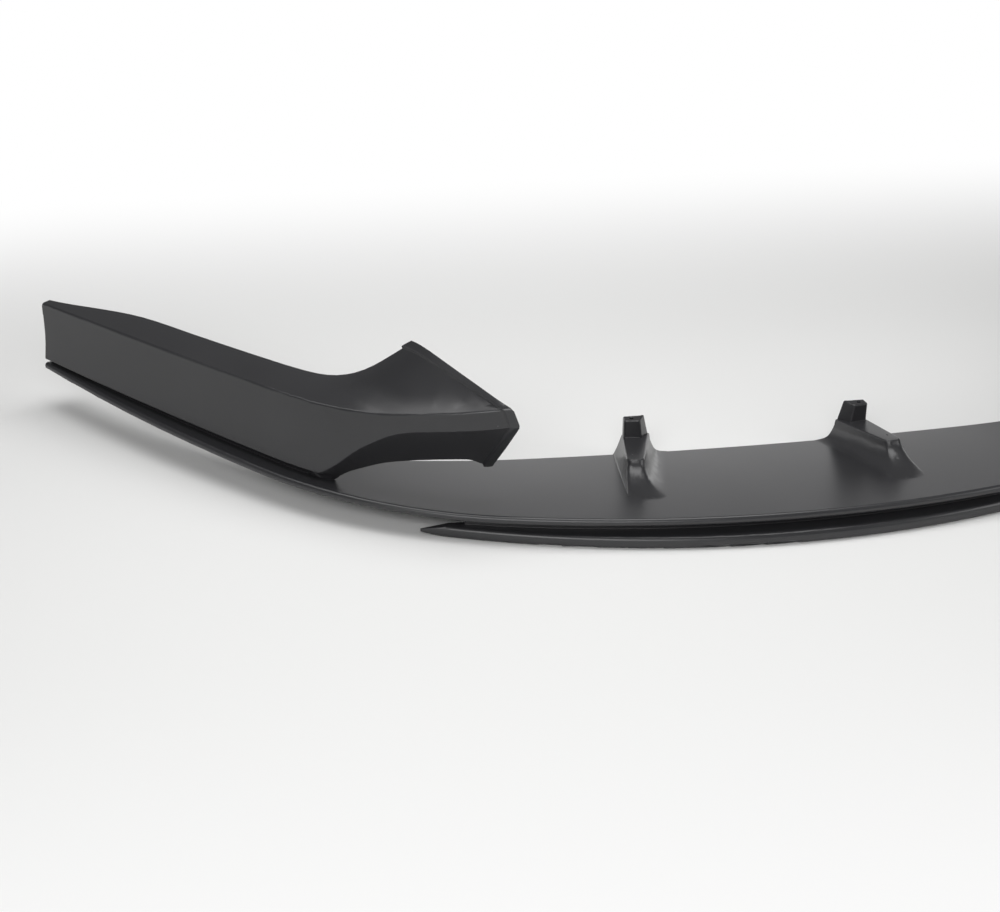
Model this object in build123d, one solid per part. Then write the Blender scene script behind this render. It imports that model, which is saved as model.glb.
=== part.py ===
from build123d import *
from math import asin, atan2, cos, degrees, hypot, radians, sin, tan
import os

os.makedirs("parts", exist_ok=True)

# Plan of the front edge: a flat middle arc, then a corner arc and a flatter side arc that rise together.
half_width = 865.0
middle_radius = 1350.0
middle_half_width = 330.0
corner_radius = 610.0
corner_half_width = 598.0
side_radius = 2600.0
side_tilt = 6.0

# Blade and upper lip.
skin = 3.5
blade_depth = 225.0
blade_fall = 8.2
lip_thickness = 10.0
lip_depth = 22.0
lip_top = 36.0
strip_widths = [(-480, 64), (-690, 60), (-900, 44)]
strip_blend = 70.0

# Lower tier under the middle.
tier_thickness = 15.0
tier_front = 8.0
tier_half_width = 423.0
tier_radius = 1080.0
tier_depth = 70.0
tier_nose_radius = 6.0
tier_tip_length = 34.0
tier_tip_blunt = 2.5
tier_wall = 5.0
web_half_width = 371.0
web_setback = 16.0
web_thickness = 4.0

# Side wall and wing.
groove_height = 4.0
groove_depth = 8.0
wall_setback = 28.0
wall_side_radius = 6500.0
wall_height = 94.0
wall_lean = 12.0
wall_flare = 4.0
flare_height = 46.0
wall_edge_radius = 4.0
fork_edge_radius = 3.0
fork_start = -537.0
lower_skin_fall = 58.0
rim_width = 6.0
rim_height = 2.0
rim_chamfer = 2.5
wing_tip_x = -324.0
wing_tip_turn = 41.5
wing_tip_pitch = 10.8

# Shape of the wall and wing along their length, as (x of the front edge, size).
top_heights = [(-910, 113), (-779, 119.7), (-693, 122.6), (-612, 125), (-533, 126), (-490, 129)]
top_heights += [(-462, 132), (-422, 138.5), (-364, 146.5), (-329, 151), (-272, 158)]
shelf_depths = [(-910, 4), (-860, 16), (-795, 42), (-732, 48), (-615, 53), (-554, 57)]
shelf_depths += [(-458, 64), (-272, 64)]
shelf_rises = [(-910, 0), (-798, -1), (-700, -2), (-610, -2), (-575, 0), (-554, 4), (-522, 17), (-491, 36)]
shelf_rises += [(-472, 49), (-458, 57), (-430, 62), (-400, 65), (-365, 71), (-340, 73), (-272, 77)]
fork_heights = [(-525, 51), (-515, 63), (-505, 75), (-488, 89.5), (-461, 107), (-421, 118), (-363, 126)]
fork_heights += [(-328, 131.5), (-276, 139)]
free_edge_depths = [(-556, 12), (-537, 12.5), (-521, 15), (-505, 22.6), (-485, 28), (-459, 34.7)]
free_edge_depths += [(-430, 36.6), (-388, 36.5), (-376, 37.7), (-366, 41.5), (-359, 42.8)]
free_edge_depths += [(-347, 41.5), (-280, 40)]

# Mounting bosses, measured from the line through the screw hole.
boss_spacing = 290.0
boss_edge_radius = 2.2
pad_height = 27.0
pad_length = 97.0
pad_outer_front = 13.5
pad_outer_rear = 9.5
pad_inner_front = 7.5
pad_inner_rear = 25.0
pad_corner = 8.0
nose_run = 60.0
nose_flare = 20.0
nose_corner = 14.0
outer_run = 10.5
inner_run = 26.0
block_height = 25.0
block_depth = 14.5
block_outer = 9.0
block_inner_front = 14.0
block_inner_rear = 22.0
block_draw = 6.0
block_corner = 4.0
screw_setback = 6.5
screw_hole = 5.5
pilot_mark = 2.6
pilot_setback = 20.0

fall = tan(radians(blade_fall))
up = Vector(0, 0, 1)
middle_axis = Axis((0, middle_radius, 0), (0, 0, 1))
junction_angle = asin(middle_half_width / middle_radius)
corner_angle = asin(sin(junction_angle) + (corner_half_width - middle_half_width) / corner_radius)
end_angle = asin(sin(corner_angle) + (half_width - corner_half_width) / side_radius)
junction_inward = Vector(sin(junction_angle), cos(junction_angle), 0)
junction = middle_axis.position - junction_inward * middle_radius
tilt_axis = Axis((0, 0, 0), (-cos(junction_angle), sin(junction_angle), 0))
side_up = up.rotate(tilt_axis, -side_tilt)
side_inward = junction_inward.rotate(tilt_axis, -side_tilt)
turn_axis = Axis((0, 0, 0), side_up)
corner_axis = Axis(junction + side_inward * corner_radius, side_up)
corner_turn = degrees(corner_angle - junction_angle)
corner_inward = side_inward.rotate(turn_axis, -corner_turn)
corner_along = side_up.cross(corner_inward)
corner_end = corner_axis.position - corner_inward * corner_radius
side_axis = Axis(corner_end + corner_inward * side_radius, side_up)
side_turn = degrees(end_angle - corner_angle) + 3
junction_plane = Plane(origin=junction, x_dir=junction_inward, z_dir=junction_inward.cross(up))


def side_edge(x):
    """Point of the left front edge at x beside the middle, and the direction into the part there."""
    if x > -corner_half_width:
        angle = asin(sin(junction_angle) + (-x - middle_half_width) / corner_radius)
        inward = side_inward.rotate(turn_axis, degrees(junction_angle - angle))
        return corner_axis.position - inward * corner_radius, inward
    angle = asin(sin(corner_angle) + (-x - corner_half_width) / side_radius)
    inward = side_inward.rotate(turn_axis, degrees(junction_angle - angle))
    return side_axis.position - inward * side_radius, inward


def along_edge(section):
    """Section at the end of the middle arc, turned along all three arcs of the left half."""
    form = revolve(section, middle_axis, degrees(junction_angle))
    form += revolve(section, corner_axis, -corner_turn)
    return form + revolve(section.rotate(corner_axis, -corner_turn), side_axis, -side_turn)


def blade_top(distance):
    return lip_top - fall * distance


# Blade: one section turned along the front edge.
nose = lip_thickness / 2
reach = blade_depth + 60
flare_back = lip_depth + 4
lip_floor = lip_top - lip_thickness
outline = Line((nose, blade_top(nose)), (reach, blade_top(reach)))
outline += Line((reach, blade_top(reach)), (reach, blade_top(reach) - skin))
outline += Line((reach, blade_top(reach) - skin), (flare_back, blade_top(flare_back) - skin))
outline += Line((flare_back, blade_top(flare_back) - skin), (lip_depth, lip_floor))
outline += Line((lip_depth, lip_floor), (nose, lip_floor))
outline += ThreePointArc((nose, lip_floor), (0, lip_floor + nose), (nose, blade_top(nose)))
blade = along_edge(junction_plane * make_face(outline))

# Boss: a wedge-shaped pad with flared flanks and a run-out nose, and a tall block at the rear edge.
boss_x = -boss_spacing / 2
boss_turn = atan2(boss_x, middle_radius - blade_depth)
boss_radius = hypot(boss_x, middle_radius - blade_depth)
boss_back = Vector(-sin(boss_turn), cos(boss_turn), -fall).normalized()
boss_side = Vector(cos(boss_turn), sin(boss_turn), 0)
boss_foot = Vector(boss_x, blade_depth, blade_top(middle_radius - boss_radius))
pad_plane = Plane(boss_foot, x_dir=boss_side, z_dir=boss_side.cross(boss_back))
block_plane = Plane(boss_foot, x_dir=boss_side, z_dir=up)


def boss_section(height, front, outer, inner, corner):
    """Outline at a height, from its front and the (front, rear) reach of its outer and inner sides."""
    beyond = 30
    spread = 1 + beyond / front
    rear_outer = outer[0] + (outer[1] - outer[0]) * spread
    rear_inner = inner[0] + (inner[1] - inner[0]) * spread
    points = [(-rear_outer, beyond), (-outer[0], -front), (inner[0], -front), (rear_inner, beyond)]
    area = make_face(Polyline(*points, close=True))
    return Plane.XY.offset(height) * fillet(area.vertices().group_by(Axis.Y)[0], corner)


def pad_form(drop, shrink):
    """Flared pad, lowered by the drop and drawn in by the shrink towards its crown."""
    sections = []
    shares = [(0, 1, 1, 1), (0.1, 0.75, 0.42, 0.86), (0.3, 0.42, 0.2, 0.62)]
    shares += [(0.7, 0.09, 0.04, 0.25), (1, 0, 0, 0)]
    for level, nose, inside, outside in shares:
        tight = shrink * min(level * 2, 1)
        front = pad_length + nose_run * nose - tight
        outer_front = pad_outer_front + nose_flare * nose * 0.1
        outer = (outer_front - tight, pad_outer_rear + outer_run * outside - tight)
        inner_front = pad_inner_front + nose_flare * nose**2
        inner = (inner_front - tight, pad_inner_rear + inner_run * inside - tight)
        corner = pad_corner + (nose_corner - pad_corner) * nose - tight / 2
        sections.append(boss_section(pad_height * level - drop, front, outer, inner, corner))
    return loft(sections)


def block_form(drop, shrink):
    """Upright block with a slanted inner side, lowered by the drop and drawn in by the shrink."""
    sections = []
    for level, draw in [(pad_height - 4, 0), (pad_height + block_height, 1)]:
        front = block_depth - draw - shrink
        outer = (block_outer - shrink, block_outer - shrink)
        inner_front = block_inner_front - block_draw * 0.6 * draw - shrink
        inner = (inner_front, block_inner_rear - block_draw * draw - shrink)
        sections.append(boss_section(level - drop, front, outer, inner, block_corner - shrink / 2))
    return loft(sections)


pad = pad_form(0, 0)
crown_edges = pad.edges().group_by(Axis.Z)[-1].sort_by(Axis.Y)[:-1]
pad = fillet(crown_edges, boss_edge_radius)
block = block_form(0, 0)
head_edges = block.edges().group_by(Axis.Z)[-1].sort_by(Axis.Y)[:-1]
block = fillet(head_edges, boss_edge_radius)
screw_height = boss_foot.Z + pad_height + block_height
screw = Pos(boss_x, blade_depth - screw_setback, screw_height) * Cylinder(screw_hole / 2, 4 * skin)
pilot = Pos(-4, pilot_setback - pad_length, pad_height) * Cylinder(pilot_mark / 2, 2)
blade += pad_plane * pad
blade += block_plane * block
blade -= pad_plane * (pad_form(skin, skin * 0.85) + pilot)
blade -= block_plane * block_form(skin, skin)
blade -= screw

# Plan trim: a straight rear edge that sweeps into a strip along each side.
strip_line = []
for x, width in strip_widths:
    point, inward = side_edge(x)
    strip_line.append(((point + inward * width).X, (point + inward * width).Y))
near, far = strip_line[0], strip_line[-1]
strip = ThreePointArc(*strip_line)
strip += Polyline(far, (-2 * half_width, far[1]), (-2 * half_width, -300), (near[0], -300), near)
middle_plan = Pos(-half_width, blade_depth / 2 - 150) * Rectangle(2 * half_width, blade_depth + 300)
plan = middle_plan + make_face(strip)
inner_corner = plan.vertices().filter_by(lambda v: near[0] - 200 < v.X < -1 and v.Y > 0)
inner_corner = inner_corner.sort_by_distance((near[0], blade_depth, 0))[0]
plan = fillet(inner_corner, strip_blend)
end_point, end_inward = side_edge(-half_width)
end_plane = Plane(origin=end_point, z_dir=end_inward.cross(up))
blade = split(blade & extrude(plan, 300, both=True), end_plane, keep=Keep.TOP)


def smooth(points, x):
    """Value at x on an even curve through the points."""
    for i in range(len(points) - 1):
        (x0, y0), (x1, y1) = points[i], points[i + 1]
        if x <= x1 or i == len(points) - 2:
            break
    chord = (y1 - y0) / (x1 - x0)
    before = chord if i == 0 else (y1 - points[i - 1][1]) / (x1 - points[i - 1][0])
    after = chord if i == len(points) - 2 else (points[i + 2][1] - y0) / (points[i + 2][0] - x0)
    t = (x - x0) / (x1 - x0)
    bend = (1 - t) * (before - chord) - t * (after - chord)
    return y0 + (x - x0) * chord + (x1 - x0) * t * (1 - t) * bend


# Wall: one upright section turned round the corner and along the side.
wall_foot = lip_top + groove_height
lean_rate = wall_lean / wall_height
flare_slope = 0.3
recess = groove_depth - wall_flare
wall_axis = Axis(corner_end + corner_inward * (wall_setback + wall_side_radius), side_up)
wall_turn = degrees((half_width - corner_half_width) * 2 / wall_side_radius)


def along_wall(edges):
    """Section at the end of the corner arc, turned back round the corner and on along the side."""
    corner = corner_end + corner_inward * wall_setback
    section = Plane(origin=corner, x_dir=corner_inward, z_dir=corner_along * -1) * make_face(edges)
    first_angle = asin(sin(junction_angle) + (272 - middle_half_width) / corner_radius)
    form = revolve(section, corner_axis, degrees(corner_angle - first_angle))
    return form + revolve(section, wall_axis, -wall_turn)


def wall_point(x, inset, height):
    """Point behind the wall face at the station x: round the corner, then nearly straight along the side."""
    if x > -corner_half_width:
        point, inward = side_edge(x)
        return point + inward * (wall_setback + inset) + side_up * height
    angle = asin(sin(corner_angle) + (-x - corner_half_width) / wall_side_radius)
    inward = side_inward.rotate(turn_axis, degrees(junction_angle - angle))
    return wall_axis.position - inward * (wall_side_radius - inset) + side_up * height


def wall_form(inset):
    """Solid behind the wall face, which flares outwards towards its foot."""
    top = 300
    floor = -60
    back = 150
    out = (inset - wall_flare - flare_slope * 30, wall_foot + inset - 30)
    foot = (inset - wall_flare, wall_foot + inset)
    straight = (inset + lean_rate * flare_height, wall_foot + flare_height)
    head = (inset + lean_rate * (top - wall_foot), top)
    edges = Line((out[0], floor), out) + Line(out, foot)
    edges += Spline(foot, straight, tangents=[(flare_slope, 1), (lean_rate, 1)])
    edges += Polyline(straight, head, (back, top), (back, floor), (out[0], floor))
    return along_wall(edges)


def groove_form(inset):
    """Ring in front of the recessed foot of the wall."""
    height = wall_foot + inset
    depth = recess + inset
    return along_wall(Polyline((-80, -100), (depth, -100), (depth, height), (-80, height), close=True))


def shelf_face(drop):
    """Top skin of the wall and wing, lowered square to itself by the drop."""
    rows = []
    count = 27
    for i in range(count):
        x = -930 + (930 - 268) * i / (count - 1)
        depth = max(smooth(shelf_depths, x), 40)
        rise = smooth(shelf_rises, x)
        row = []
        for inset in (-30, 0, 30, 60, 90, 120):
            ratio = min((inset - wall_lean) / depth, 1.6)
            slope = rise / depth * (0.44 + 1.12 * max(ratio, 0))
            lift = rise * ratio * (0.44 + 0.56 * max(ratio, 0))
            height = smooth(top_heights, x) + lift - drop * (1 + slope**2) ** 0.5
            row.append(wall_point(x, inset, height))
        rows.append(row)
    return Face.make_surface_from_array_of_points(rows, tol=0.1)


def rear_limit(beyond):
    """Plan area in front of the rear edge of the shelf."""
    line = []
    for x in (-905, -860, -795, -732, -670, -615, -554, -505, -458, -400, -340, -278):
        height = smooth(top_heights, x) + smooth(shelf_rises, x)
        point = wall_point(x, wall_lean + smooth(shelf_depths, x) + beyond, height)
        line.append((point.X, point.Y))
    first, last = line[0], line[-1]
    edges = Spline(*line)
    edges += Polyline(last, (last[0] + 40, -300), (-1400, -300), (-1400, first[1]), first)
    return extrude(make_face(edges), 400, both=True)


def fork_form(grow):
    """Prism under the lower skin, along the fall of that skin."""
    point, inward = side_edge(-430)
    level = Vector(inward.X, inward.Y, 0).normalized()
    steep = radians(lower_skin_fall)
    run = level * cos(steep) - up * sin(steep)
    view = Plane(origin=point, x_dir=level.cross(up), z_dir=run * -1)
    line = []
    for x, height in [(fork_start - 9, wall_foot - 12), (fork_start, wall_foot - 2)] + fork_heights:
        local = view.to_local_coords(wall_point(x, lean_rate * (height - wall_foot), height))
        line.append((local.X, local.Y))
    crease = Spline(*line)
    line = []
    for i in range(19):
        point = crease @ (i / 18)
        tangent = crease % (i / 18)
        line.append((point.X - tangent.Y * grow, point.Y + tangent.X * grow))
    first, last = line[0], line[-1]
    low = first[1] - 160
    edges = Spline(*line)
    edges += Polyline(last, (last[0] + 60, last[1]), (last[0] + 60, low), (first[0], low), first)
    return view * extrude(make_face(edges), 300, both=True)


def free_edge_form():
    """Block behind the free rear edge of the lower skin."""
    line = []
    for x, depth in free_edge_depths:
        point = wall_point(x, depth, 60)
        line.append((point.X, point.Y))
    first, last = line[0], line[-1]
    edges = Spline(*line) + Polyline(last, (last[0], last[1] + 180), (first[0], last[1] + 180), first)
    return Pos(0, 0, -50) * extrude(make_face(edges), 160)


def under_form():
    """Everything below the middle of the blade skin."""
    deep = -200
    front = (-60, blade_top(-60) - skin / 2)
    rear = (reach, blade_top(reach) - skin / 2)
    section = make_face(Polyline(front, rear, (reach, deep), (-60, deep), close=True))
    return along_edge(junction_plane * section)


# Wing: the closed form is rounded and rimmed, then emptied from behind.
tip_height = smooth(top_heights, wing_tip_x)
tip = wall_point(wing_tip_x, lean_rate * (tip_height - wall_foot), tip_height)
tip_out = Vector(1, 0, 0).rotate(Axis.Y, -wing_tip_pitch).rotate(Axis.Z, wing_tip_turn)
tip_plane = Plane(origin=tip, z_dir=tip_out)
rim_plane = Plane(origin=tip - tip_out * rim_width, z_dir=tip_out)


def wing_form(inset, beyond):
    """Wall, shelf and wing as one closed form, all faces moved in by the inset."""
    form = wall_form(inset) - extrude(shelf_face(inset), 400, dir=(0, 0, 1))
    form = (form & rear_limit(beyond)) - fork_form(inset)
    return split(form, end_plane, keep=Keep.TOP)


def nearest_edge(shape, x, height):
    return shape.edges().sort_by_distance(wall_point(x, lean_rate * (height - wall_foot), height))[0]


def eased_edges(form):
    """Top edges and lower crease of a wing form."""
    top = [nearest_edge(form, x, smooth(top_heights, x)) for x in (-700, -450)]
    return top, nearest_edge(form, -430, smooth(fork_heights, -430))


wing = split(wing_form(0, 0) - under_form(), tip_plane, keep=Keep.BOTTOM)
wing = fillet(eased_edges(wing)[0], wall_edge_radius)
wing = fillet(eased_edges(wing)[1], fork_edge_radius)
rim = split(wing_form(-rim_height, 0), tip_plane, keep=Keep.BOTTOM)
rim = chamfer(eased_edges(rim)[0], rim_chamfer)
rim = chamfer(eased_edges(rim)[1], rim_chamfer)
rim = split(rim, rim_plane, keep=Keep.TOP)
wing = wing + rim - groove_form(0)
shell = wing - free_edge_form() - (wing_form(skin, 25) - groove_form(skin))

# Lower tier: a rounded crescent, open underneath, on a set-back web.
tier_axis = Axis((0, tier_radius - tier_front, 0), (0, 0, 1))
tip_y = tier_radius - tier_front - (tier_radius**2 - tier_half_width**2) ** 0.5
left_tip, right_tip = (-tier_half_width, tip_y), (tier_half_width, tip_y)
tier_middle = (0, tier_depth - tier_front)
crescent = ThreePointArc(left_tip, (0, -tier_front), right_tip)
crescent = make_face(crescent + ThreePointArc(right_tip, tier_middle, left_tip))
tier_section = Rectangle(tier_depth + 40, tier_thickness, align=(Align.MIN, Align.MIN))
tier_section = fillet(tier_section.vertices().group_by(Axis.X)[0], tier_nose_radius)
tier_plane = Plane(origin=(0, -tier_front, 0), x_dir=(0, 1, 0), z_dir=(1, 0, 0))
tier_turn = degrees(asin(tier_half_width / tier_radius)) + 2
tier = revolve(tier_plane * tier_section, tier_axis, -tier_turn)
limit_x = tier_half_width + 60
limit_y = tier_middle[1] + (tip_y - tier_middle[1]) * (limit_x / tier_half_width) ** 2
front_limit = ThreePointArc((limit_x, limit_y), tier_middle, (-limit_x, limit_y))
front_limit += Polyline((-limit_x, limit_y), (-limit_x, -200), (limit_x, -200), (limit_x, limit_y))
tier = tier & extrude(make_face(front_limit), 40, both=True)
tip_slope = tier_thickness * 0.4 / tier_tip_length
tip_start = tier_tip_length - tier_half_width
tier = split(tier, Plane((tip_start, 0, tier_thickness), z_dir=(-tip_slope, 0, 1)), keep=Keep.BOTTOM)
tier = split(tier, Plane((tip_start, 0, 0), z_dir=(-tip_slope, 0, -1)), keep=Keep.BOTTOM)
tier = split(tier, Plane((tier_tip_blunt - tier_half_width, 0, 0), z_dir=(-1, 0, 0)), keep=Keep.BOTTOM)
tier += mirror(tier, Plane.YZ)
tier -= Pos(0, 0, -1) * extrude(offset(crescent, -tier_wall), tier_thickness - skin + 1)
web_front = middle_radius - web_setback
web_ring = Pos(0, middle_radius) * (Circle(web_front) - Circle(web_front - web_thickness))
web_limit = Pos(0, web_setback) * Rectangle(2 * web_half_width, 200)
web_top = blade_top(web_setback + web_thickness) - skin / 2
web = Pos(0, 0, tier_thickness - 1) * extrude(web_ring & web_limit, web_top - tier_thickness + 1)

# Whole moulding: both halves and the tier, moved to stand centred on the floor.
half = blade + shell
splitter = half + mirror(half, Plane.YZ)
splitter += tier + web
box = splitter.bounding_box()
splitter = Pos(0, -(box.min.Y + box.max.Y) / 2, -box.min.Z) * splitter
export_step(splitter, "parts/front_splitter.step")
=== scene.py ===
import math

import bmesh
import bpy
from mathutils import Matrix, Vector
from mathutils.bvhtree import BVHTree
from mathutils.kdtree import KDTree


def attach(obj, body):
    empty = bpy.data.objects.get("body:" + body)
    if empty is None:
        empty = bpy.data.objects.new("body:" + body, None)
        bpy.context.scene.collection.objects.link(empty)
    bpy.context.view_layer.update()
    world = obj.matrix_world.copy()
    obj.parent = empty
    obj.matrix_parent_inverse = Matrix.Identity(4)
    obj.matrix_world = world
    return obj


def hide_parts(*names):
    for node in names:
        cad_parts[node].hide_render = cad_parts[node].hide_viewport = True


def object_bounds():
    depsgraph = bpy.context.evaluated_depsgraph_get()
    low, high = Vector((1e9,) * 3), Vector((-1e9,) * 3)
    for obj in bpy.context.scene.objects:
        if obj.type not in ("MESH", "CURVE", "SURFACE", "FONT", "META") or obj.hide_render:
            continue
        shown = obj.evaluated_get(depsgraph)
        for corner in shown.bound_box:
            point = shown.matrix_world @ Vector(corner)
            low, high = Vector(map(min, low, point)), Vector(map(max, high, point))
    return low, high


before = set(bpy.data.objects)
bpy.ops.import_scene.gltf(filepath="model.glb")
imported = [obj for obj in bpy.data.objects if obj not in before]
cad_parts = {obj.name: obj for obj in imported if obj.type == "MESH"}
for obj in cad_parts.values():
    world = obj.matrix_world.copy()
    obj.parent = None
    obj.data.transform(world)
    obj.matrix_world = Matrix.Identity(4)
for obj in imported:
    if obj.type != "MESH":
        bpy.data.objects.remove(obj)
cadLow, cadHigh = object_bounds()
scene = bpy.context.scene
scene.view_settings.view_transform = "Standard"
print("stage 1: frame loaded")


def toLinear(hexText):
    # sRGB hex to the linear colour that a socket takes
    channels = [int(hexText[i:i + 2], 16) / 255 for i in (1, 3, 5)]
    linear = [c / 12.92 if c <= 0.04045 else ((c + 0.055) / 1.055) ** 2.4 for c in channels]
    return linear + [1.0]


def addNode(tree, kind, settings=None, links=None):
    # links: input name or number -> a value, or a (node, output) pair
    node = tree.nodes.new(kind)
    for key, value in (settings or {}).items():
        setattr(node, key, value)
    for key, value in (links or {}).items():
        if isinstance(value, tuple) and isinstance(value[0], bpy.types.Node):
            tree.links.new(value[0].outputs[value[1]], node.inputs[key])
        else:
            node.inputs[key].default_value = value
    return node


def newMaterial(name):
    material = bpy.data.materials.new(name)
    material.use_nodes = True
    material.node_tree.nodes.clear()
    return material, material.node_tree


# moulded ABS, black right through, with a fine etched grain from the tool:
# the eye sees a deep grey that lightens in broad, soft bands and never mirrors anything
absFinish = {
    "colour": "#28282a",
    "paleColour": "#2e2e30",
    "roughness": 0.30,         # with 0.28 and a spread of 0.03 the change of sheen rendered as
    "roughnessSpread": 0.02,   # patches with hard edges, so the lowest value stays at 0.28
    "ior": 1.53,
    "cloudMm": 90.0,           # slow change of sheen as the tool's etch varies
    "cloudDetail": 2.0,
    "cloudSpan": (0.3, 0.7),   # part of the cloud's range that carries the whole change of sheen
    "grainMm": 1.4,            # the real grain is about 0.3 mm, drawn coarser so that it shows at all
    "grainDetail": 3.0,
    "grainMix": 0.6,
    "grainHeightMm": 0.012,
    "grainStrength": 0.35,
    "dustMm": 34.0,            # cells with a speck in the middle, which the surface seldom cuts
    "speckMm": 0.9,            # real specks are about 0.4 mm, drawn coarser so that they show
    "dustColour": "#8a8a8c",
}


def makeSatinAbs():
    material, tree = newMaterial("satinBlackMouldedAbs")
    place = addNode(tree, "ShaderNodeTexCoord")
    cloud = addNode(tree, "ShaderNodeTexNoise", None, {
        "Vector": (place, "Object"), "Scale": 1000 / absFinish["cloudMm"],
        "Detail": absFinish["cloudDetail"]})
    grain = addNode(tree, "ShaderNodeTexNoise", None, {
        "Vector": (place, "Object"), "Scale": 1000 / absFinish["grainMm"],
        "Detail": absFinish["grainDetail"], "Roughness": absFinish["grainMix"]})
    tint = addNode(tree, "ShaderNodeMix", {"data_type": "RGBA"}, {
        "Factor": (cloud, "Fac"), "A": toLinear(absFinish["colour"]),
        "B": toLinear(absFinish["paleColour"])})

    # a few pale specks of dust
    cells = addNode(tree, "ShaderNodeTexVoronoi", None, {
        "Vector": (place, "Object"), "Scale": 1000 / absFinish["dustMm"], "Randomness": 1.0})
    edge = 0.5 * absFinish["speckMm"] / absFinish["dustMm"]
    speck = addNode(tree, "ShaderNodeMapRange", None, {
        "Value": (cells, "Distance"), "From Min": edge * 0.5, "From Max": edge,
        "To Min": 1.0, "To Max": 0.0})
    dusty = addNode(tree, "ShaderNodeMix", {"data_type": "RGBA"}, {
        "Factor": (speck, "Result"), "A": (tint, 2), "B": toLinear(absFinish["dustColour"])})

    low = absFinish["roughness"] - absFinish["roughnessSpread"]
    high = absFinish["roughness"] + absFinish["roughnessSpread"]
    cloudLow, cloudHigh = absFinish["cloudSpan"]
    sheen = addNode(tree, "ShaderNodeMapRange", None, {
        "Value": (cloud, "Fac"), "From Min": cloudLow, "From Max": cloudHigh,
        "To Min": low, "To Max": high})
    bump = addNode(tree, "ShaderNodeBump", None, {
        "Height": (grain, "Fac"), "Strength": absFinish["grainStrength"],
        "Distance": absFinish["grainHeightMm"] / 1000})
    shader = addNode(tree, "ShaderNodeBsdfPrincipled", None, {
        "Base Color": (dusty, 2), "Roughness": (sheen, "Result"), "IOR": absFinish["ior"],
        "Normal": (bump, "Normal")})
    addNode(tree, "ShaderNodeOutputMaterial", None, {"Surface": (shader, "BSDF")})
    return material


satinAbs = makeSatinAbs()
print("stage 2: satin ABS made")

# the moulding itself: one piece, its sharp edges broken as a polished mould leaves them
moulding = {
    "mergeMm": 0.01,
    "edgeAngle": 28.0,       # edges sharper than this are broken
    "edgeRadiusMm": 0.8,
    "edgeSegments": 2,
    "strayRatio": 2.2,       # a point that strays further than this many radii spoils its corner
    "foldRatio": 1.5,        # a face that turns against the CAD faces within this many radii does too
    "tries": 8,
    "shadeAngle": 58.0,      # edges still sharper than this stay crisp
    "patchAngle": 4.0,       # faces that meet flatter than this belong to one patch
}


def mergedMesh(source):
    work = bmesh.new()
    work.from_mesh(source.data)
    bmesh.ops.remove_doubles(work, verts=work.verts, dist=moulding["mergeMm"] / 1000)
    refineNose(work)
    work.verts.index_update()
    work.edges.index_update()
    return work


def spoiltCorners(work, made, lines, surface, corners):
    # corners where the rounding strays from its edge or folds over
    radius = moulding["edgeRadiusMm"] / 1000
    spoilt = set()
    for vert in made:
        if lines.find_nearest(vert.co)[3] > moulding["strayRatio"] * radius:
            for face in vert.link_faces:
                spoilt.update(corners.find(v.co)[1] for v in face.verts)
    work.normal_update()
    for face in work.faces:
        near = surface.find_nearest_range(face.calc_center_median(), moulding["foldRatio"] * radius)
        if near and max(face.normal.dot(hit[1]) for hit in near) < 0:
            spoilt.update(corners.find(v.co)[1] for v in face.verts)
    return spoilt


def breakEdges(base):
    # the rounding runs on fresh copies, and leaves out the corners that it spoils
    surface = BVHTree.FromBMesh(base)
    corners = KDTree(len(base.verts))
    for vert in base.verts:
        corners.insert(vert.co, vert.index)
    corners.balance()
    limit = math.radians(moulding["edgeAngle"])
    sharp = [e.index for e in base.edges if e.is_manifold and e.calc_face_angle(0) > limit]
    leftOut = set()
    for step in range(moulding["tries"]):
        work = base.copy()
        work.edges.ensure_lookup_table()
        edges = [work.edges[i] for i in sharp]
        edges = [e for e in edges if not any(v.index in leftOut for v in e.verts)]
        points = [v.co.copy() for e in edges for v in (e.verts[0], e.verts[1], e.verts[1])]
        lines = BVHTree.FromPolygons(points, [(i, i + 1, i + 2) for i in range(0, len(points), 3)])
        made = bmesh.ops.bevel(
            work, geom=edges, offset=moulding["edgeRadiusMm"] / 1000, offset_type="OFFSET",
            segments=moulding["edgeSegments"], profile=0.5, affect="EDGES", clamp_overlap=False)
        spoilt = spoiltCorners(work, made["verts"], lines, surface, corners) - leftOut
        if not spoilt or step == moulding["tries"] - 1:
            print("edges broken:", len(edges), "of", len(sharp))
            return work
        leftOut |= spoilt
        work.free()


# rounded nose of the lower tier, in metres: an arc in plan, and in section a quarter round above
# and below a narrow flat
tierNose = {
    "axisY": 0.823162,       # the arc's middle
    "outer": 1.080,
    "round": 0.006,
    "flat": (0.006, 0.009),  # heights of the flat between the two quarter rounds
    "halfWidth": 0.40,
    "stationMm": 10.0,
    "slack": 0.0006,         # how far the CAD facets lie off the true round
    "exactSlack": 0.00006,   # how far a point that was put back may lie off it
    "leastInset": 0.0001,    # points nearer than this to the end of the round are on the flat faces
    "cutSlack": 0.00005,     # a station takes a point this near instead of making a new one
}


def noseNormal(point, slack):
    # outward direction at a point within the slack of the nose, or nothing away from it
    away = Vector((point.x, point.y - tierNose["axisY"]))
    inset = away.length - (tierNose["outer"] - tierNose["round"])
    rise = point.z - min(max(point.z, tierNose["flat"][0]), tierNose["flat"][1])
    if inset < tierNose["leastInset"] or abs(math.hypot(inset, rise) - tierNose["round"]) > slack:
        return None
    if point.y > 0 or abs(point.x) > tierNose["halfWidth"]:
        return None
    away = away.normalized() * inset
    return Vector((away.x, away.y, rise)).normalized()


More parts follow.
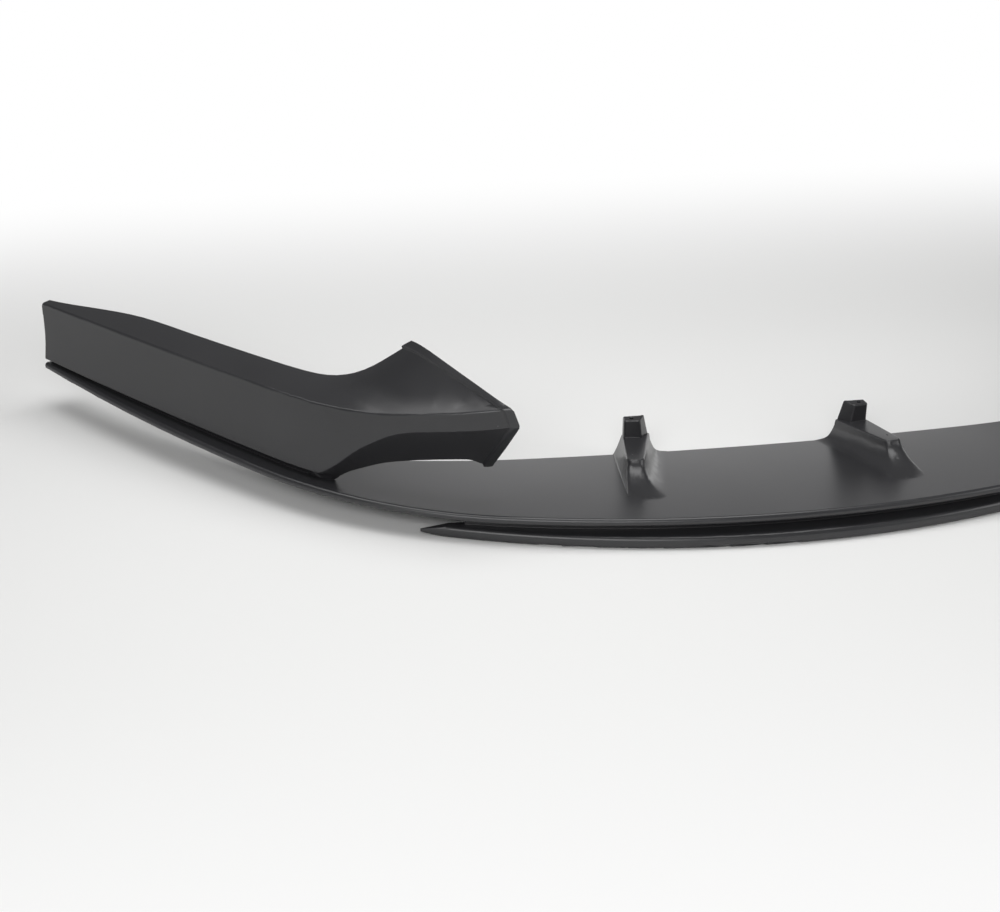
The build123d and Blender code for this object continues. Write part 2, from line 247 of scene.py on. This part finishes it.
def refineNose(work):
    # stations across the nose, with every point put back on its true round
    step = tierNose["stationMm"] / 1000 / tierNose["outer"]
    reach = math.asin(tierNose["halfWidth"] / tierNose["outer"])
    count = int(reach / step)
    for i in range(-count, count + 1):
        faces = [f for f in work.faces if all(noseNormal(v.co, tierNose["slack"]) for v in f.verts)]
        # dictionaries keep the order, so that every run gives the same mesh
        edges = list(dict.fromkeys(e for f in faces for e in f.edges))
        verts = list(dict.fromkeys(v for f in faces for v in f.verts))
        bmesh.ops.bisect_plane(
            work, geom=verts + edges + faces, dist=tierNose["cutSlack"],
            plane_co=(0, tierNose["axisY"], 0), plane_no=(math.cos(i * step), math.sin(i * step), 0))
    for vert in work.verts:
        normal = noseNormal(vert.co, tierNose["slack"])
        if normal:
            middle = Vector((vert.co.x, vert.co.y - tierNose["axisY"]))
            middle = middle.normalized() * (tierNose["outer"] - tierNose["round"])
            level = min(max(vert.co.z, tierNose["flat"][0]), tierNose["flat"][1])
            middle = Vector((middle.x, middle.y + tierNose["axisY"], level))
            vert.co = middle + normal * tierNose["round"]


def patchAreas(work):
    # area of the smooth patch that each face lies in
    limit = math.radians(moulding["patchAngle"])
    areas = {}
    for first in work.faces:
        if first in areas:
            continue
        patch = {first}
        queue = [first]
        while queue:
            for edge in queue.pop().edges:
                if edge.is_manifold and edge.calc_face_angle(0) < limit:
                    fresh = [face for face in edge.link_faces if face not in patch]
                    patch.update(fresh)
                    queue.extend(fresh)
        total = sum(face.calc_area() for face in patch)
        areas.update((face, total) for face in patch)
    return areas


def evenNormals(work):
    # at each vertex the larger patch leads, so broad faces stay even right up to a rounded edge
    crisp = math.radians(moulding["shadeAngle"])
    areas = patchAreas(work)
    normals = {}
    for vert in work.verts:
        exact = noseNormal(vert.co, tierNose["exactSlack"])
        left = set(vert.link_faces)
        while left:
            fan = {left.pop()}
            queue = list(fan)
            while queue:
                face = queue.pop()
                for edge in vert.link_edges:
                    if face not in edge.link_faces or not edge.is_manifold:
                        continue
                    if edge.calc_face_angle(0) < crisp:
                        fresh = [other for other in edge.link_faces if other not in fan]
                        fan.update(fresh)
                        queue.extend(fresh)
            left -= fan
            loops = [loop for loop in vert.link_loops if loop.face in fan]
            total = Vector()
            for loop in loops:
                total += loop.face.normal * loop.calc_angle() * areas[loop.face]
            for loop in loops:
                normals[loop] = exact or total.normalized()
    return [normals[loop] for face in work.faces for loop in face.loops]


def makeMoulding():
    base = mergedMesh(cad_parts["front_splitter"])
    work = breakEdges(base)
    mesh = bpy.data.meshes.new("splitterMoulding")
    # no point leaves the CAD box
    for vert in work.verts:
        vert.co = [min(max(c, lo), hi) for c, lo, hi in zip(vert.co, cadLow, cadHigh)]
    bmesh.ops.remove_doubles(work, verts=work.verts, dist=moulding["mergeMm"] / 1000)
    work.normal_update()
    normals = evenNormals(work)
    work.to_mesh(mesh)
    work.free()
    base.free()
    mesh.materials.clear()
    mesh.materials.append(satinAbs)
    for polygon in mesh.polygons:
        polygon.use_smooth = True
        polygon.material_index = 0
    mesh.set_sharp_from_angle(angle=math.radians(moulding["shadeAngle"]))
    mesh.normals_split_custom_set(normals)
    piece = bpy.data.objects.new("splitterMoulding", mesh)
    scene.collection.objects.link(piece)
    return piece


splitter = makeMoulding()
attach(splitter, "root")
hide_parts("front_splitter")
print("stage 3: moulding finished,", len(splitter.data.polygons), "faces")

# plain studio: white paper that runs out to a white backdrop, a broad light above, one in front,
# a small one on the right and a low card behind
studio = {
    "floorColour": "#e8e8e7",
    "floorSize": 16.0,
    "paperRoughness": 0.9,
    "paperSheen": 0.1,
    "shadowHalf": (0.87, 0.26, 1.0),   # the paper keeps its shading over the part and a little beyond
    "fadeStart": 0.05,                 # metres past that, where its fade to white starts and ends
    "fadeEnd": 0.85,
    "skyStrength": 0.16,
    "backdropBand": (0.03, 0.32),      # heights on the unit sky where reflections lose the backdrop
    "lights": {
        # name: (place, target, width, depth, watts)
        "overheadSoftbox": ((-0.3, 0.1, 1.65), (-0.3, -0.05, 0.0), 1.9, 1.0, 22.0),
        "rearCard": ((-0.1, 0.62, 0.065), (-0.1, 0.0, 0.05), 2.6, 0.12, 1.3),
        "frontSoftbox": ((-0.9, -1.9, 1.35), (-0.4, -0.1, 0.05), 1.8, 0.8, 24.0),
        "rightSoftbox": ((1.7, -0.9, 1.1), (-0.3, -0.1, 0.08), 0.9, 0.9, 8.0),
    },
    "partOnly": "rearCard",            # shines on the part alone, so it draws no line on the paper
}


def makeFloor():
    # uncoated paper: no shine, and a soft shadow under the part
    material, tree = newMaterial("matWhitePaperFloor")
    place = addNode(tree, "ShaderNodeTexCoord")
    wide = addNode(tree, "ShaderNodeVectorMath", {"operation": "ABSOLUTE"}, {0: (place, "Object")})
    past = addNode(tree, "ShaderNodeVectorMath", {"operation": "SUBTRACT"}, {
        0: (wide, 0), 1: studio["shadowHalf"]})
    past = addNode(tree, "ShaderNodeVectorMath", {"operation": "MAXIMUM"}, {
        0: (past, 0), 1: (0, 0, 0)})
    away = addNode(tree, "ShaderNodeVectorMath", {"operation": "LENGTH"}, {0: (past, 0)})
    fade = addNode(tree, "ShaderNodeMapRange", {"interpolation_type": "SMOOTHSTEP"}, {
        "Value": (away, "Value"), "From Min": studio["fadeStart"], "From Max": studio["fadeEnd"]})
    # the paper runs out to white for the camera, and for what the part reflects
    rays = addNode(tree, "ShaderNodeLightPath")
    seen = addNode(tree, "ShaderNodeMath", {"operation": "MAXIMUM"}, {
        0: (rays, "Is Camera Ray"), 1: (rays, "Is Glossy Ray")})
    seen = addNode(tree, "ShaderNodeMath", {"operation": "MAXIMUM"}, {
        0: (seen, "Value"), 1: (rays, "Is Transmission Ray")})
    seen = addNode(tree, "ShaderNodeMath", {"operation": "MULTIPLY"}, {
        0: (fade, "Result"), 1: (seen, "Value")})
    paper = addNode(tree, "ShaderNodeBsdfPrincipled", None, {
        "Base Color": toLinear(studio["floorColour"]), "Roughness": studio["paperRoughness"],
        "Specular IOR Level": studio["paperSheen"]})
    white = addNode(tree, "ShaderNodeEmission", None, {"Color": (1, 1, 1, 1), "Strength": 1.0})
    mixed = addNode(tree, "ShaderNodeMixShader", None, {
        0: (seen, "Value"), 1: (paper, "BSDF"), 2: (white, "Emission")})
    addNode(tree, "ShaderNodeOutputMaterial", None, {"Surface": (mixed, "Shader")})
    half = studio["floorSize"] / 2
    mesh = bpy.data.meshes.new("studioFloor")
    corners = [(-half, -half, 0), (half, -half, 0), (half, half, 0), (-half, half, 0)]
    mesh.from_pydata(corners, [], [(0, 1, 2, 3)])
    mesh.materials.append(material)
    floor = bpy.data.objects.new("studioFloor", mesh)
    scene.collection.objects.link(floor)


def makeSky():
    world = bpy.data.worlds.new("studioSky")
    world.use_nodes = True
    scene.world = world
    sky = world.node_tree
    sky.nodes.clear()
    place = addNode(sky, "ShaderNodeTexCoord")
    split = addNode(sky, "ShaderNodeSeparateXYZ", None, {"Vector": (place, "Generated")})
    foot, head = studio["backdropBand"]
    backdrop = addNode(sky, "ShaderNodeMapRange", {"interpolation_type": "SMOOTHSTEP"}, {
        "Value": (split, "Z"), "From Min": foot, "From Max": head, "To Min": 1.0, "To Max": 0.0})
    # white for the camera all over, and low down for what the part reflects
    rays = addNode(sky, "ShaderNodeLightPath")
    mirrored = addNode(sky, "ShaderNodeMath", {"operation": "MULTIPLY"}, {
        0: (backdrop, "Result"), 1: (rays, "Is Glossy Ray")})
    seen = addNode(sky, "ShaderNodeMath", {"operation": "MAXIMUM"}, {
        0: (rays, "Is Camera Ray"), 1: (rays, "Is Transmission Ray")})
    seen = addNode(sky, "ShaderNodeMath", {"operation": "MAXIMUM"}, {
        0: (seen, "Value"), 1: (mirrored, "Value")})
    glow = addNode(sky, "ShaderNodeMix", {"data_type": "FLOAT"}, {
        "Factor": (seen, "Value"), "A": studio["skyStrength"], "B": 1.0})
    light = addNode(sky, "ShaderNodeBackground", None, {
        "Color": (1, 1, 1, 1), "Strength": (glow, "Result")})
    addNode(sky, "ShaderNodeOutputWorld", None, {"Surface": (light, "Background")})


def makeLights():
    onlyPart = bpy.data.collections.new("onlyPart")
    onlyPart.objects.link(splitter)
    for name, (place, target, width, depth, watts) in studio["lights"].items():
        lamp = bpy.data.lights.new(name, "AREA")
        lamp.shape = "RECTANGLE"
        lamp.size = width
        lamp.size_y = depth
        lamp.energy = watts
        holder = bpy.data.objects.new(name, lamp)
        holder.location = place
        holder.rotation_euler = (Vector(target) - Vector(place)).to_track_quat("-Z", "Y").to_euler()
        holder.visible_camera = False
        if name == studio["partOnly"]:
            holder.light_linking.receiver_collection = onlyPart
        scene.collection.objects.link(holder)


makeFloor()
makeSky()
makeLights()
print("stage 4: studio lit")

viewPoint = {
    "place": (-0.564, -1.650, 0.890),
    "target": (-0.315, -0.08, 0.045),
    "lensMm": 55.0,
    "sensorMm": 36.0,
    "clip": (0.01, 100.0),
}


def makeCamera():
    camera = bpy.data.cameras.new("viewCamera")
    camera.lens = viewPoint["lensMm"]
    camera.sensor_width = viewPoint["sensorMm"]
    camera.clip_start, camera.clip_end = viewPoint["clip"]
    holder = bpy.data.objects.new("viewCamera", camera)
    aim = Vector(viewPoint["target"]) - Vector(viewPoint["place"])
    holder.location = viewPoint["place"]
    holder.rotation_euler = aim.to_track_quat("-Z", "Y").to_euler()
    scene.collection.objects.link(holder)
    scene.camera = holder


makeCamera()
print("stage 5: camera placed")
